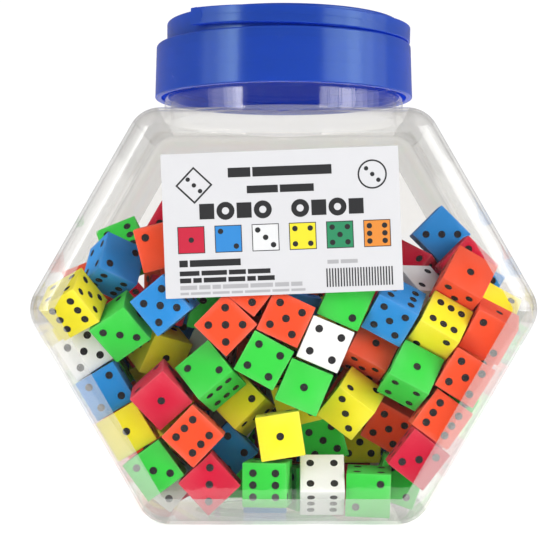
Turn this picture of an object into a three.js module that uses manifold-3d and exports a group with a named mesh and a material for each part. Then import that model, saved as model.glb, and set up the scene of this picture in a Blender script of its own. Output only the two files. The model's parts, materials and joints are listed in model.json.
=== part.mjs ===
// Counter jar of foam dice: a clear six-sided plastic jar with a threaded neck, a screw lid with a
// two-ply liner and a fold-down carry handle, a paper label, and the dice inside it.
// Millimetres. +Z is up, -Y is the front. The origin is the middle of the base.
import * as THREE from "three";
import { mergeVertices } from "three/addons/utils/BufferGeometryUtils.js";
import Module from "manifold-3d";

const wasm = await Module();
wasm.setup();

// ---- Driving dimensions ----

// Jar body: a hexagon seen from the front, with every corner and edge rounded
const bodyHeight = 149.7;
const bodyDepth = 102;
const baseWidth = 96.4;
const waistWidth = 185.8; // between the two side corners, before they are rounded
const waistZ = 77.1;
const shoulderWidth = 102.6;
const cornerRadius = 12; // the six corners, seen from the front
const edgeRadius = 10; // the edges round the front and back faces
const wall = 1;
const pushUpRise = 1; // shallow dome pressed up into the base
const pushUpHalfWidth = 34;
const pushUpHalfDepth = 28;

// Neck and its thread
const neckRadius = 44.6;
const neckWall = 1.2;
const collarHeight = 8.7; // the plain stretch above the body, as wide as the thread's crest
const neckHeight = 24.5; // from the top of the body to the rim
const rimChamfer = 0.3;
const threadPitch = 5.08;
const threadTurns = 1.25;
const threadRun = 4.6; // from the collar up to the middle of the thread where it starts
const neckThreadDepth = 1.25;
const lidThreadDepth = 0.95;
const threadRootWidth = 2.6;
const threadCrestWidth = 1;
const threadSink = 0.4; // how far a thread ridge is set into the wall that carries it
const threadFade = 6; // steps over which a ridge rises at either end
const threadEndShare = 0.15; // how much of its height a ridge has at its very end
const threadSteps = 48; // steps in one turn

// Lid
const skirtGap = 8.3; // from the top of the body up to the skirt
const skirtDraft = 0.58; // how much narrower the skirt is at its top
const skirtWall = 2.45;
const crownThickness = 1.5;
const bossInset = 4.02; // the ledge on which the folded handle lies
const bossHeight = 8.8;
const bossWall = 1.8;
const lidFillet = 0.8;

// Liner: a film next to the rim, and a pulp board above it
const filmThickness = 0.4;
const boardThickness = 1;
const linerInset = 0.5; // between the liner's edge and the skirt

// Carry handle: half a ring that folds down round the boss
const handleAngle = 49; // where its middle lies, turned from the front towards the right
const handleThickness = 3.2;
const handleHeight = 6.2;
const handleBossGap = 0.65;
const handleDroop = 2.3; // degrees below level when it is folded down
const hingeDrop = 3.2; // from the top of the boss down to the hinge axis
const pegRadius = 1.5;
const pegClearance = 0.3;
const pegReach = 2.7; // from the inside of the handle towards the middle of the lid
const handleBevel = 0.5;
const barSegments = 24;

// Label on the front wall
const labelWidth = 84;
const labelHeight = 51;
const labelThickness = 0.15;
const labelGlue = 0.05;
const labelX = -0.6;
const labelDrop = 41.8; // from the top of the body down to the middle of the label
const labelTurn = -2.2;

// Dice
const dieSize = 16;
const heapTopZ = 97;
const looseDiceSpread = 60; // degrees between neighbours on the ring of loose dice
const looseYaw = 20; // how far the first loose die is turned, in degrees
const looseYawStep = 50; // and how much further each next one is

const clearance = 0.3;
const threadClearance = 0.2; // between the crests of the two threads
const roundSegments = 60;
const bodyCornerSegments = 5;
const bodyEdgeSegments = 4;
const domeSegments = 36;
const domeRings = 8;
const handleSegments = 26;

const finishes = {
  jar: { color: 0xdfe6e4, roughness: 0.08 },
  lid: { color: 0x2d4ba5, roughness: 0.3 },
  paper: { color: 0xf4f4f2, roughness: 0.6 },
  film: { color: 0xd9dcdf, roughness: 0.8 },
  board: { color: 0xcfc6b4, roughness: 0.8 },
  green: { color: 0x3cb94b, roughness: 0.85 },
  orange: { color: 0xeb4b2d, roughness: 0.85 },
  blue: { color: 0x2d78c8, roughness: 0.85 },
  yellow: { color: 0xebe128, roughness: 0.85 },
  white: { color: 0xe6e6e6, roughness: 0.85 },
  magenta: { color: 0xbe1e46, roughness: 0.85 },
  mixed: { color: 0x8a8f7a, roughness: 0.9 },
};

// The dice that lie against the front wall, in rows from the bottom up. Each entry is: colour,
// x and z of its middle, turn seen from the front (clockwise), lean (its top side comes forward),
// swing (its right side comes forward), and how far behind the front wall it lies.
const frontDice = [
  ["white", -43.6, 12.8, 40, 0, 0, 17.5],
  ["magenta", -29.9, 12.1, 47, 0, 0, 0.5],
  ["green", -8.7, 15, 0, 0, 8, 0],
  ["white", 15.3, 13.6, 0, -38, 0, 1.5],
  ["green", 38.3, 10.5, 2, 6, 4, 0],
  ["green", 46.2, 8.8, 20, 0, 0, 20],

  ["green", -54, 23.9, -36, 0, 0, 5],
  ["blue", -18.2, 26.9, 45, 0, 0, 12],
  ["yellow", -3.4, 31.3, -9, 0, 0, 0],
  ["magenta", 51.2, 19.9, 38, 0, 0, 2],
  ["green", 20.2, 38.1, -15, 10, 0, 14.5],
  ["orange", 38.9, 34.6, 30, 20, 0, 14],

  ["yellow", -59.3, 34.4, -31, 0, 0, 0.5],
  ["orange", -32.8, 33, 44, 0, 0, 0],
  ["yellow", -16.3, 39.3, -45, -20, 0, 8],
  ["orange", 47.8, 37.4, 36, 0, 0, 4.5],
  ["blue", -73, 51, -31, 0, 0, 11.5],
  ["magenta", -48.9, 38.4, 47, 8, -12, 0],

  ["green", 7, 49.6, 23, 0, 0, 0],
  ["yellow", 27.1, 47, 37, 33, 0, 5.5],
  ["orange", 64.7, 51.7, 32, 0, 0, 0],
  ["green", 45, 52, 28, -30, 0, 1.5],
  ["green", -31.2, 48.9, -40, -28, 0, 0],
  ["green", -11, 56.4, 29, 0, 0, 0],

  ["white", -72.9, 58.3, -33, 0, 0, 9.5],
  ["yellow", -51.9, 67.8, 17, 15, -30, 12.5],
  ["white", 18.3, 63.3, 23, 0, 0, 0],
  ["orange", 34.1, 60.2, 28, -25, 0, 6],
  ["orange", 71.5, 67.3, 27, 20, 0, 2.5],
  ["orange", -29.1, 59.5, 44, 0, 0, 0],

  ["yellow", -84, 74.2, -28, 24, 20, 2],
  ["green", -64.8, 80.6, -34, 20, 14, 4],
  ["blue", -42.6, 79.5, -39, 0, 12, 0],
  ["orange", -0.8, 71.5, 25, 0, 0, 0],
  ["green", 22.6, 79.5, 24, 0, 0, 3],
  ["blue", 40.7, 76.3, 28, 33, 0, 3],

  ["yellow", 55.5, 70.4, 30, -38, 0, 0.5],
  ["yellow", 89.3, 81.9, 29, -50, 0, 13],
  ["orange", 60.6, 78.9, 30, -30, 0, 4.5],
  ["blue", -62.6, 90, 25, -34, -22, 6.5],
  ["blue", 85.7, 93.4, 30, 0, 0, 36.5],
  ["white", 43.5, 89.2, 0, -53, -35, 15.5],

  ["orange", -48.3, 99.7, -14, 5, 0, 9],
  ["green", -59.5, 97.6, -22, -35, 0, 30],
  ["magenta", 47, 97, 30, -10, 35, 30],
  ["blue", 53.9, 99.3, 45, 0, 0, 42],
  ["magenta", 71.1, 90.6, 45, 0, 0, 25.5],
  ["magenta", -39.6, 110.1, 30, 0, 0, 18.5],
];

// ---- Helpers ----

const radians = THREE.MathUtils.degToRad;

function solidOf(geometry) {
  const plain = geometry.index ? geometry.toNonIndexed() : geometry.clone();
  plain.deleteAttribute("normal");
  plain.deleteAttribute("uv");
  const merged = mergeVertices(plain, 1e-4);
  const vertProperties = merged.attributes.position.array;
  const triVerts = new Uint32Array(merged.index.array);
  return new wasm.Manifold(new wasm.Mesh({ numProp: 3, vertProperties, triVerts }));
}

function geometryOf(solid) {
  const mesh = solid.getMesh();
  const geometry = new THREE.BufferGeometry();
  geometry.setAttribute("position", new THREE.BufferAttribute(new Float32Array(mesh.vertProperties), 3));
  geometry.setIndex(new THREE.BufferAttribute(new Uint32Array(mesh.triVerts), 1));
  return geometry.toNonIndexed();
}

function piece(name, geometry, finish) {
  const mesh = new THREE.Mesh(geometry, new THREE.MeshStandardMaterial(finishes[finish]));
  mesh.name = name;
  return mesh;
}

// A solid of revolution about Z. Each profile point is [radius, z], running up the outside.
function turned(profile) {
  const points = profile.map(([radius, z]) => new THREE.Vector2(radius, z));
  return new THREE.LatheGeometry(points, roundSegments).rotateX(Math.PI / 2);
}

// The direction at an angle turned from the front (-Y) towards the right (+X).
function heading(degrees) {
  const angle = radians(degrees);
  return new THREE.Vector3(Math.sin(angle), -Math.cos(angle), 0);
}

// ---- Jar ----

// The hexagon of the body seen from the front, counter-clockwise from its bottom left corner.
const bodyOutline = [
  [-baseWidth / 2, 0],
  [baseWidth / 2, 0],
  [waistWidth / 2, waistZ],
  [shoulderWidth / 2, bodyHeight],
  [-shoulderWidth / 2, bodyHeight],
  [-waistWidth / 2, waistZ],
].map(([x, z]) => new THREE.Vector2(x, z));

// The sides of a polygon, each with its start, its unit direction and its outward normal.
function sidesOf(outline) {
  return outline.map((start, i) => {
    const end = outline[(i + 1) % outline.length];
    const along = end.clone().sub(start).normalize();
    return { start, end, along, out: new THREE.Vector2(along.y, -along.x) };
  });
}

// The same polygon with every side moved inwards.
function inset(outline, distance) {
  const sides = sidesOf(outline);
  return outline.map((corner, i) => {
    const before = sides[(i + sides.length - 1) % sides.length];
    const after = sides[i];
    const share = distance / (1 + before.out.dot(after.out));
    return corner.clone().sub(before.out.clone().add(after.out).multiplyScalar(share));
  });
}

function roundedShape(outline, radius) {
  const centres = inset(outline, radius);
  const sides = sidesOf(outline);
  const shape = new THREE.Shape();
  centres.forEach((centre, i) => {
    const before = sides[(i + sides.length - 1) % sides.length].out.angle();
    const after = sides[i].out.angle();
    shape.absarc(centre.x, centre.y, radius, before, after, false);
  });
  shape.closePath();
  return shape;
}

// The body's solid, moved inwards by a distance on every side.
function bodySolid(distance) {
  const shape = roundedShape(inset(bodyOutline, distance), cornerRadius - distance);
  const round = edgeRadius - distance;
  const straight = bodyDepth - 2 * edgeRadius;
  const geometry = new THREE.ExtrudeGeometry(shape, {
    depth: straight,
    curveSegments: bodyCornerSegments,
    bevelEnabled: true,
    bevelThickness: round,
    bevelSize: round,
    bevelOffset: -round,
    bevelSegments: bodyEdgeSegments,
  });
  geometry.translate(0, 0, -straight / 2);
  return solidOf(geometry.rotateX(Math.PI / 2));
}

// The dome pressed up into the base, grown by a distance.
function pushUp(distance) {
  const dome = new THREE.SphereGeometry(1, domeSegments, domeRings);
  dome.scale(pushUpHalfWidth + distance, pushUpHalfDepth + distance, pushUpRise + distance);
  return solidOf(dome);
}

// A thread ridge: a four-sided section carried up a helix, which fades into the wall at both ends.
function threadRidge(rootRadius, crestRadius, startZ) {
  const steps = Math.round(threadSteps * threadTurns);
  const positions = [];
  const faces = [];
  for (let i = 0; i <= steps; i++) {
    const rise = Math.min(1, i / threadFade, (steps - i) / threadFade);
    const share = threadEndShare + (1 - threadEndShare) * rise;
    const angle = (2 * Math.PI * i) / threadSteps;
    const z = startZ + (threadPitch * i) / threadSteps;
    const crest = THREE.MathUtils.lerp(rootRadius, crestRadius, share);
    const section = [
      [rootRadius, -threadRootWidth / 2],
      [crest, -threadCrestWidth / 2],
      [crest, threadCrestWidth / 2],
      [rootRadius, threadRootWidth / 2],
    ];
    for (const [radius, offset] of section) {
      positions.push(radius * Math.cos(angle), radius * Math.sin(angle), z + offset);
    }
  }
  for (let i = 0; i < steps; i++) {
    for (let k = 0; k < 4; k++) {
      const a = 4 * i + k;
      const b = 4 * i + ((k + 1) % 4);
      faces.push(a, a + 4, b, b, a + 4, b + 4);
    }
  }
  const last = 4 * steps;
  faces.push(0, 1, 2, 0, 2, 3);
  faces.push(last, last + 2, last + 1, last, last + 3, last + 2);
  if (crestRadius < rootRadius) faces.reverse();
  const geometry = new THREE.BufferGeometry();
  geometry.setAttribute("position", new THREE.Float32BufferAttribute(positions, 3));
  geometry.setIndex(faces);
  return solidOf(geometry);
}

const boreRadius = neckRadius - neckWall;
const neckFootZ = bodyHeight - edgeRadius;
const collarRadius = neckRadius + neckThreadDepth;
const collarTopZ = bodyHeight + collarHeight;
const threadStartZ = collarTopZ + threadRun;
const rimZ = bodyHeight + neckHeight;

function jarBody() {
  const neck = turned([
    [0, neckFootZ + wall],
    [collarRadius, neckFootZ + wall],
    [collarRadius, collarTopZ - (collarRadius - neckRadius)],
    [neckRadius, collarTopZ],
    [neckRadius, rimZ - rimChamfer],
    [neckRadius - rimChamfer, rimZ],
    [0, rimZ],
  ]);
  const bore = turned([
    [0, neckFootZ],
    [boreRadius, neckFootZ],
    [boreRadius, rimZ + clearance],
    [0, rimZ + clearance],
  ]);
  const thread = threadRidge(neckRadius - threadSink, collarRadius, threadStartZ);
  const cavity = bodySolid(wall).subtract(pushUp(wall)).add(solidOf(bore));
  const outside = bodySolid(0).subtract(pushUp(0)).add(solidOf(neck)).add(thread);
  return piece("jar_body", geometryOf(outside.subtract(cavity)), "jar");
}

function frontLabel() {
  const sheet = new THREE.BoxGeometry(labelWidth, labelThickness, labelHeight);
  const mesh = piece("front_label", sheet, "paper");
  const labelY = -bodyDepth / 2 - labelGlue - labelThickness / 2;
  mesh.position.set(labelX, labelY, bodyHeight - labelDrop);
  mesh.rotation.y = radians(labelTurn);
  return mesh;
}

// ---- Lid, liner and handle ----

const lidCrestRadius = collarRadius + threadClearance;
const skirtInnerRadius = lidCrestRadius + lidThreadDepth;
const skirtRadius = skirtInnerRadius + skirtWall;
const skirtTopRadius = skirtRadius - skirtDraft;
const skirtBottomZ = bodyHeight + skirtGap;
const linerRadius = skirtInnerRadius - linerInset;
const filmZ = rimZ + clearance;
const boardZ = filmZ + filmThickness + clearance;
const crownUndersideZ = boardZ + boardThickness + clearance;
const skirtTopZ = crownUndersideZ + crownThickness;
const bossRadius = skirtTopRadius - bossInset;
const bossInnerRadius = bossRadius - bossWall;
const bossTopZ = skirtTopZ + bossHeight;
const hingeZ = bossTopZ - hingeDrop;
const handleInnerRadius = bossRadius + handleBossGap;
const handleOuterRadius = handleInnerRadius + handleThickness;

function disc(name, bottomZ, thickness, finish) {
  const profile = [
    [0, bottomZ],
    [linerRadius, bottomZ],
    [linerRadius, bottomZ + thickness],
    [0, bottomZ + thickness],
  ];
  return piece(name, turned(profile), finish);
}

// A round bar from one radius to another, along a heading at the height of the hinge.
function hingeBar(towards, fromRadius, toRadius, radius) {
  const bar = new THREE.CylinderGeometry(radius, radius, toRadius - fromRadius, barSegments);
  const up = new THREE.Vector3(0, 1, 0);
  bar.applyQuaternion(new THREE.Quaternion().setFromUnitVectors(up, towards));
  const middle = towards.clone().multiplyScalar((fromRadius + toRadius) / 2);
  return solidOf(bar.translate(middle.x, middle.y, hingeZ));
}

const hingeHeadings = [heading(handleAngle - 90), heading(handleAngle + 90)];

function lidShell() {
  const bossUndersideZ = bossTopZ - bossWall;
  const filletMiddle = lidFillet * (1 - Math.SQRT1_2);
  const shell = turned([
    [skirtInnerRadius, skirtBottomZ],
    [skirtRadius, skirtBottomZ],
    [skirtTopRadius, skirtTopZ - lidFillet],
    [skirtTopRadius - filletMiddle, skirtTopZ - filletMiddle],
    [skirtTopRadius - lidFillet, skirtTopZ],
    [bossRadius, skirtTopZ],
    [bossRadius, bossTopZ - lidFillet],
    [bossRadius - filletMiddle, bossTopZ - filletMiddle],
    [bossRadius - lidFillet, bossTopZ],
    [0, bossTopZ],
    [0, bossUndersideZ],
    [bossInnerRadius, bossUndersideZ],
    [bossInnerRadius, crownUndersideZ],
    [skirtInnerRadius, crownUndersideZ],
    [skirtInnerRadius, skirtBottomZ],
  ]);
  const ridgeZ = threadStartZ - threadPitch / 2;
  const thread = threadRidge(skirtInnerRadius + threadSink, lidCrestRadius, ridgeZ);
  let solid = solidOf(shell).add(thread);
  const holeRadius = pegRadius + pegClearance;
  for (const towards of hingeHeadings) {
    const hole = hingeBar(towards, bossInnerRadius - clearance, bossRadius + clearance, holeRadius);
    solid = solid.subtract(hole);
  }
  return piece("lid_shell", geometryOf(solid), "lid");
}

function carryHandle() {
  const middle = radians(handleAngle - 90);
  const pastHinge = handleHeight / 2 / handleOuterRadius;
  const start = middle - Math.PI / 2 - pastHinge;
  const end = middle + Math.PI / 2 + pastHinge;
  const outline = new THREE.Shape();
  outline.absarc(0, 0, handleOuterRadius - handleBevel, start, end, false);
  outline.absarc(0, 0, handleInnerRadius + handleBevel, end, start, true);
  outline.closePath();
  const strap = new THREE.ExtrudeGeometry(outline, {
    depth: handleHeight - 2 * handleBevel,
    curveSegments: handleSegments,
    bevelEnabled: true,
    bevelThickness: handleBevel,
    bevelSize: handleBevel,
    bevelSegments: 1,
  });
  strap.translate(0, 0, hingeZ - handleHeight / 2 + handleBevel);
  const pegEnd = handleInnerRadius - pegReach;
  const pegRoot = handleInnerRadius + handleThickness / 2;
  let solid = solidOf(strap);
  for (const towards of hingeHeadings) {
    solid = solid.add(hingeBar(towards, handleInnerRadius, handleOuterRadius, handleHeight / 2));
    solid = solid.add(hingeBar(towards, pegEnd, pegRoot, pegRadius));
  }
  const geometry = geometryOf(solid).translate(0, 0, -hingeZ);
  const mesh = piece("carry_handle", geometry, "lid");
  mesh.position.z = hingeZ;
  mesh.quaternion.setFromAxisAngle(hingeHeadings[0], -radians(handleDroop));
  return mesh;
}

// ---- Dice ----

const floorZ = wall + pushUpRise;
const cavityCorner = cornerRadius - wall;
const cavityEdge = edgeRadius - wall;
const cavityCore = inset(bodyOutline, wall + cavityCorner);

// Distance from a point to a convex polygon, negative inside it.
function polygonDistance(point, outline) {
  const sides = sidesOf(outline);
  const inside = Math.max(...sides.map((side) => point.clone().sub(side.start).dot(side.out)));
  if (inside <= 0) return inside;
  return Math.min(
    ...sides.map((side) => {
      const length = side.end.distanceTo(side.start);
      const along = point.clone().sub(side.start).dot(side.along);
      const nearest = side.along.clone().multiplyScalar(THREE.MathUtils.clamp(along, 0, length));
      return nearest.add(side.start).distanceTo(point);
    }),
  );
}

// Distance from a point to the inside of the jar's wall, negative in the hollow.
function wallDistance(point) {
  const across = new THREE.Vector2(point.x, point.z);
  const fromSides = polygonDistance(across, cavityCore) - cavityCorner + cavityEdge;
  const fromFaces = Math.abs(point.y) - (bodyDepth / 2 - wall) + cavityEdge;
  const beyond = Math.hypot(Math.max(fromSides, 0), Math.max(fromFaces, 0));
  const rounded = Math.min(Math.max(fromSides, fromFaces), 0) + beyond - cavityEdge;
  return Math.max(rounded, floorZ - point.z);
}

// The direction in which the wall is nearest, found from small steps along each axis.
function wallDirection(point) {
  const step = 0.01;
  const here = wallDistance(point);
  const slope = ["x", "y", "z"].map((axis) => {
    const moved = point.clone();
    moved[axis] += step;
    return (wallDistance(moved) - here) / step;
  });
  return new THREE.Vector3(...slope).normalize();
}

function axesOf(turn) {
  return [
    new THREE.Vector3(1, 0, 0).applyQuaternion(turn),
    new THREE.Vector3(0, 1, 0).applyQuaternion(turn),
    new THREE.Vector3(0, 0, 1).applyQuaternion(turn),
  ];
}

function reach(die, direction) {
  return (dieSize / 2) * die.axes.reduce((sum, axis) => sum + Math.abs(axis.dot(direction)), 0);
}

function cornersOf(die) {
  const corners = [];
  for (let i = 0; i < 8; i++) {
    const corner = die.middle.clone();
    die.axes.forEach((axis, k) => corner.addScaledVector(axis, ((i >> k) & 1 ? 0.5 : -0.5) * dieSize));
    corners.push(corner);
  }
  return corners;
}

// The shortest move that parts two dice, as a direction and a distance, or null if they are apart.
function overlap(first, second) {
  const nearlyParallel = 0.05;
  const between = second.middle.clone().sub(first.middle);
  if (between.length() > dieSize * Math.sqrt(3) + clearance) return null;
  const directions = [...first.axes, ...second.axes];
  for (const a of first.axes) {
    for (const b of second.axes) {
      const crossed = a.clone().cross(b);
      if (crossed.length() > nearlyParallel) directions.push(crossed.normalize());
    }
  }
  let shortest = null;
  for (const direction of directions) {
    const gap = Math.abs(between.dot(direction)) - reach(first, direction) - reach(second, direction);
    const depth = clearance - gap;
    if (depth <= 0) return null;
    if (!shortest || depth < shortest.depth) shortest = { depth, direction: direction.clone() };
  }
  if (between.dot(shortest.direction) < 0) shortest.direction.negate();
  return shortest;
}

// Moves the dice apart and off the wall, a little at a time, until all of them are clear. At first
// each die is also drawn back to where it was laid, so that it ends up no further off than it must.
function settle(dice) {
  const drawnRounds = 300;
  const mostRounds = 3000;
  const firstPull = 0.1;
  const closeEnough = 0.02;
  const homes = dice.map((die) => die.middle.clone());
  for (let round = 0; round < mostRounds; round++) {
    let worst = 0;
    const pull = firstPull * Math.max(0, 1 - round / drawnRounds);
    for (let i = 0; i < dice.length; i++) {
      dice[i].middle.lerp(homes[i], pull);
      for (let k = i + 1; k < dice.length; k++) {
        if (dice[i].fixed && dice[k].fixed) continue;
        const push = overlap(dice[i], dice[k]);
        if (!push) continue;
        worst = Math.max(worst, push.depth);
        const share = dice[i].fixed || dice[k].fixed ? 1 : 0.5;
        if (!dice[i].fixed) dice[i].middle.addScaledVector(push.direction, -push.depth * share);
        if (!dice[k].fixed) dice[k].middle.addScaledVector(push.direction, push.depth * share);
      }
    }
    for (const die of dice) {
      if (die.fixed) continue;
      for (const corner of cornersOf(die)) {
        const depth = wallDistance(corner) + clearance;
        if (depth <= 0) continue;
        worst = Math.max(worst, depth);
        die.middle.addScaledVector(wallDirection(corner), -depth);
      }
    }
    if (worst < closeEnough) return;
  }
}

function laidDie([colour, x, z, turn, lean, swing, behind]) {
  const quaternion = new THREE.Quaternion()
    .setFromAxisAngle(new THREE.Vector3(0, 1, 0), radians(turn))
    .multiply(new THREE.Quaternion().setFromAxisAngle(new THREE.Vector3(0, 0, 1), -radians(swing)))
    .multiply(new THREE.Quaternion().setFromAxisAngle(new THREE.Vector3(1, 0, 0), radians(lean)));
  const die = { colour, quaternion, axes: axesOf(quaternion), middle: new THREE.Vector3(x, 0, z) };
  const toFront = reach(die, new THREE.Vector3(0, -1, 0));
  die.middle.y = -bodyDepth / 2 + wall + clearance + toFront + behind;
  return die;
}

// The loose dice on top of the heap: one in the middle and four on a ring just inside the mouth.
function looseDice() {
  const ring = boreRadius - clearance - dieSize / Math.SQRT2;
  const places = [[0, 0]];
  for (let i = 0; i < 4; i++) {
    const angle = radians(i * looseDiceSpread);
    places.push([ring * Math.cos(angle), ring * Math.sin(angle)]);
  }
  const looseColours = ["white", "orange", "green", "magenta", "blue"];
  return places.map(([x, y], i) => {
    const angle = radians(looseYaw + looseYawStep * i);
    const yaw = new THREE.Quaternion().setFromAxisAngle(new THREE.Vector3(0, 0, 1), angle);
    const middle = new THREE.Vector3(x, y, heapTopZ + clearance + dieSize / 2);
    return { colour: looseColours[i], quaternion: yaw, axes: axesOf(yaw), middle, fixed: true };
  });
}

function dieMesh(die, name) {
  const mesh = piece(name, new THREE.BoxGeometry(dieSize, dieSize, dieSize), die.colour);
  mesh.position.copy(die.middle);
  mesh.quaternion.copy(die.quaternion);
  return mesh;
}

// The rest of the dice as one soft mass, which fills the jar behind the front dice.
function diceHeap(frontZone) {
  const margin = wall + clearance;
  const back = bodyDepth / 2;
  const bottom = floorZ + clearance;
  const block = new THREE.BoxGeometry(waistWidth, back - frontZone, heapTopZ - bottom);
  block.translate(0, (back + frontZone) / 2, (heapTopZ + bottom) / 2);
  return piece("dice_heap", geometryOf(bodySolid(margin).intersect(solidOf(block))), "mixed");
}

// ---- Assembly ----

const jar = new THREE.Group();
jar.add(jarBody(), frontLabel());

const lid = new THREE.Group();
lid.add(disc("liner_film", filmZ, filmThickness, "film"));
lid.add(disc("liner_board", boardZ, boardThickness, "board"));
lid.add(lidShell(), carryHandle());

const laid = frontDice.map(laidDie);
const loose = looseDice();
settle([...laid, ...loose]);

const contents = new THREE.Group();
laid.forEach((die, i) => contents.add(dieMesh(die, `${die.colour}_die_${i + 1}`)));
loose.forEach((die, i) => contents.add(dieMesh(die, `loose_${die.colour}_die_${i + 1}`)));
const frontZone = Math.max(...laid.flatMap(cornersOf).map((corner) => corner.y)) + clearance;
contents.add(diceHeap(frontZone));

const diceJar = new THREE.Group();
diceJar.add(jar, lid, contents);
export default diceJar;
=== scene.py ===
"""The looks of a counter jar of foam dice, built round its packed CAD frame.

Lengths are in metres. +Z is up and -Y is the front, as in the frame.
"""

import json
import math
import random

import bmesh
import bpy
from bpy.props import FloatProperty, FloatVectorProperty, IntProperty, PointerProperty
from mathutils import Matrix, Quaternion, Vector
from mathutils.geometry import delaunay_2d_cdt

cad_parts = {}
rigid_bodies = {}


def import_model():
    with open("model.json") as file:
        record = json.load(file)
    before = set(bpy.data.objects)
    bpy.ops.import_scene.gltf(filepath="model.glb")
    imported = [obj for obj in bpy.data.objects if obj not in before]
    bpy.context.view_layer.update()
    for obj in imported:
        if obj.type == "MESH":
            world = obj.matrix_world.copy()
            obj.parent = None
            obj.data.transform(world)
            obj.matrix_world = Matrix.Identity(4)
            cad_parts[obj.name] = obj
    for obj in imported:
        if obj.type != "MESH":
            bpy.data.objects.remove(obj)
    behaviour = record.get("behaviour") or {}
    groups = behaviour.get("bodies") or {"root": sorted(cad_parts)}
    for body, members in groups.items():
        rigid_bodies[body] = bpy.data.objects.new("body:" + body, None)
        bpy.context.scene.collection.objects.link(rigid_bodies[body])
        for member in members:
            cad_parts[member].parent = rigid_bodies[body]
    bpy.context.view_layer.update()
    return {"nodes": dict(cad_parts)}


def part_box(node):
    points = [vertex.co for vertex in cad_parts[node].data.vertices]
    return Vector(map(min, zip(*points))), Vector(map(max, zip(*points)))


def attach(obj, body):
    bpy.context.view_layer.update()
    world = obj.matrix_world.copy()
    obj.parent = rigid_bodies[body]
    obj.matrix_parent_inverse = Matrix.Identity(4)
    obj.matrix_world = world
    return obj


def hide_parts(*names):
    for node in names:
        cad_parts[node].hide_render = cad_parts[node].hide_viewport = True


bl_info = {
    "name": "Jar of foam dice",
    "version": (1, 0, 0),
    "blender": (4, 5, 0),
    "location": "3D View > Sidebar > Dice jar",
    "description": "Builds a clear six-sided counter jar filled with small foam dice",
    "category": "Object",
}

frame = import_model()
MM = 0.001
ALL_DICE = sorted(
    (name for name in frame["nodes"] if "_die_" in name),
    key=lambda name: int(name.rsplit("_", 1)[1]),
)
FRONT_DICE = [name for name in ALL_DICE if not name.startswith("loose_")]
LOOSE_DICE = [name for name in ALL_DICE if name.startswith("loose_")]
FOAM_COLOURS = ("green", "orange", "blue", "yellow", "white", "magenta")

# The ridge of a thread: its width at the wall and at its crest, and how far it is set into the wall.
RIDGE_ROOT = 2.6 * MM
RIDGE_CREST = 1 * MM
RIDGE_SET_IN = 0.4 * MM


# ---- Sizes and colours that can be changed in the sidebar ----


def length(name, description, default):
    return FloatProperty(name=name, description=description, default=default, unit="LENGTH", precision=4)


def tint(name, description, default):
    return FloatVectorProperty(
        name=name,
        description=description,
        default=default,
        subtype="COLOR",
        min=0,
        max=1,
    )


class JarSizes(bpy.types.PropertyGroup):
    """Sizes of the clear jar"""

    height: length("Body height", "From the base to the top of the body", 149.7 * MM)
    depth: length("Body depth", "From the front face to the back face", 102 * MM)
    base_width: length("Base width", "Between the two lower corners, before rounding", 96.4 * MM)
    waist_width: length("Waist width", "Between the two side corners, before rounding", 185.8 * MM)
    waist_height: length("Waist height", "From the base up to the side corners", 77.1 * MM)
    shoulder_width: length("Shoulder width", "Between the upper corners, before rounding", 102.6 * MM)
    corner_radius: length("Corner radius", "Of the six corners, seen from the front", 12 * MM)
    edge_radius: length("Edge radius", "Round the front and back faces", 10 * MM)
    wall: length("Wall", "Thickness of the body's wall", 1 * MM)
    push_up_width: length("Push-up width", "Half the width of the dome in the base", 34 * MM)
    push_up_depth: length("Push-up depth", "Half the depth of the dome in the base", 28 * MM)
    push_up_rise: length("Push-up rise", "Height of the dome in the base", 1 * MM)
    neck_radius: length("Neck radius", "Of the threaded neck", 44.6 * MM)
    neck_wall: length("Neck wall", "Thickness of the neck's wall", 1.2 * MM)
    neck_height: length("Neck height", "From the top of the body to the rim", 24.5 * MM)
    collar_height: length("Collar height", "Of the plain collar under the thread", 8.7 * MM)
    collar_flare: length("Collar flare", "Where the collar meets the body", 1 * MM)
    rim_radius: length("Rim rounding", "Of the rim's edges", 0.4 * MM)
    thread_depth: length("Thread depth", "How far the thread stands out", 1.25 * MM)
    thread_run: length("Thread run", "From the collar up to the thread's start", 4.6 * MM)
    thread_pitch: length("Thread pitch", "Rise in one turn", 5.08 * MM)
    thread_turns: FloatProperty(name="Thread turns", description="Turns of the thread", default=1.25)


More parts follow.
